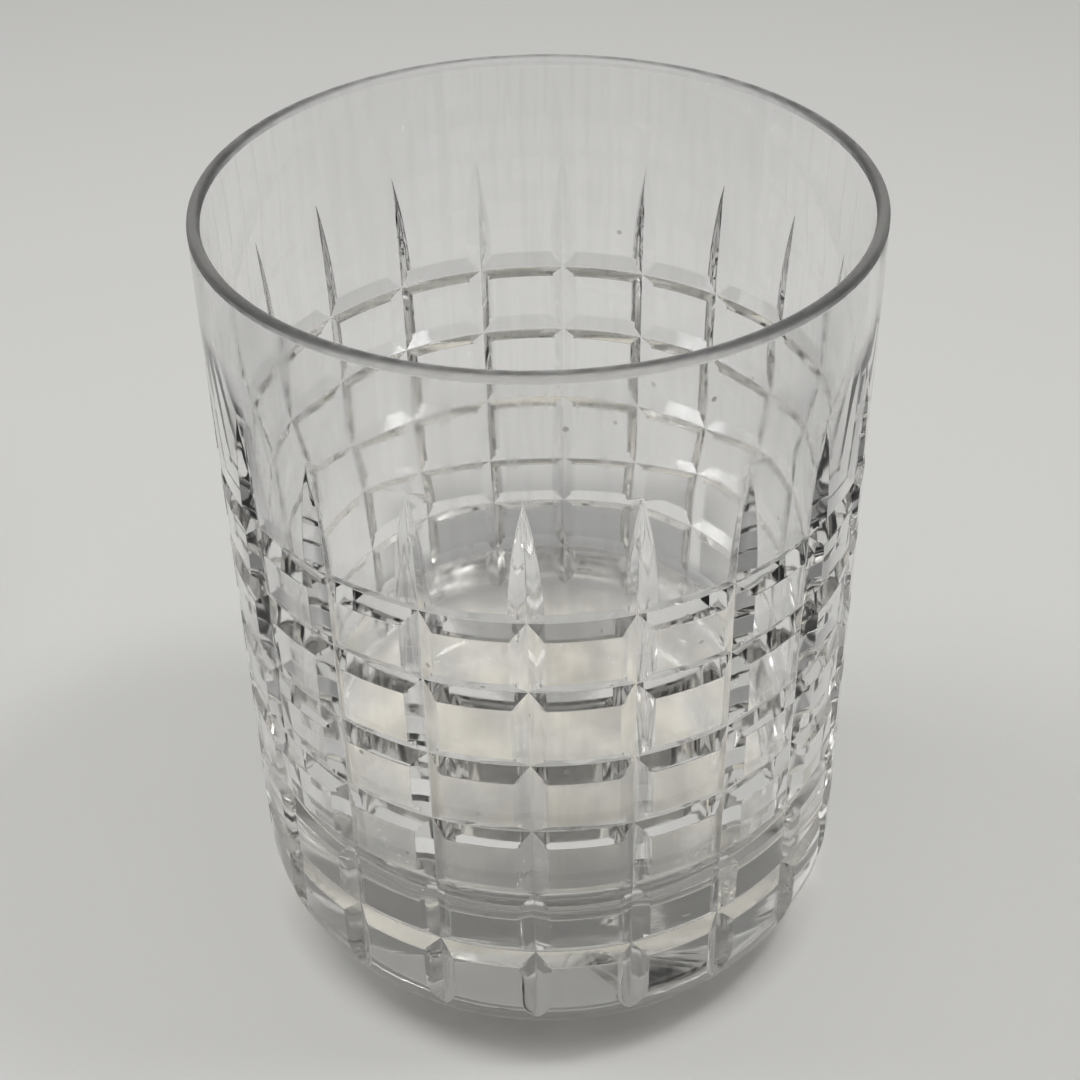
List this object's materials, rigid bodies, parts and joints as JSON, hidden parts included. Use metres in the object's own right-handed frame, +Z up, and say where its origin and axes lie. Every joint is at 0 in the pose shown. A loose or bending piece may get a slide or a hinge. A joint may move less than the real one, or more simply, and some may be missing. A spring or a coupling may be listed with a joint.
{
  "type": "whiskey tumbler",
  "caption": "Straight-sided clear cut-glass whiskey tumbler with a heavy base, round heel and a grid of upright and level mitre cuts below a plain lip.",
  "frame": {"origin": "middle of the flat foot that the tumbler stands on", "axes": "+Z up along the axis of the glass, towards the lip; an upright cut lies on +X, on -X, on +Y and on -Y"},
  "size_m": [0.082, 0.082, 0.108],
  "materials": {
    "clear_glass": "polished clear crystal"
  },
  "bodies": {
    "root": {"tumbler_glass": "clear_glass"}
  },
  "joints": []
}
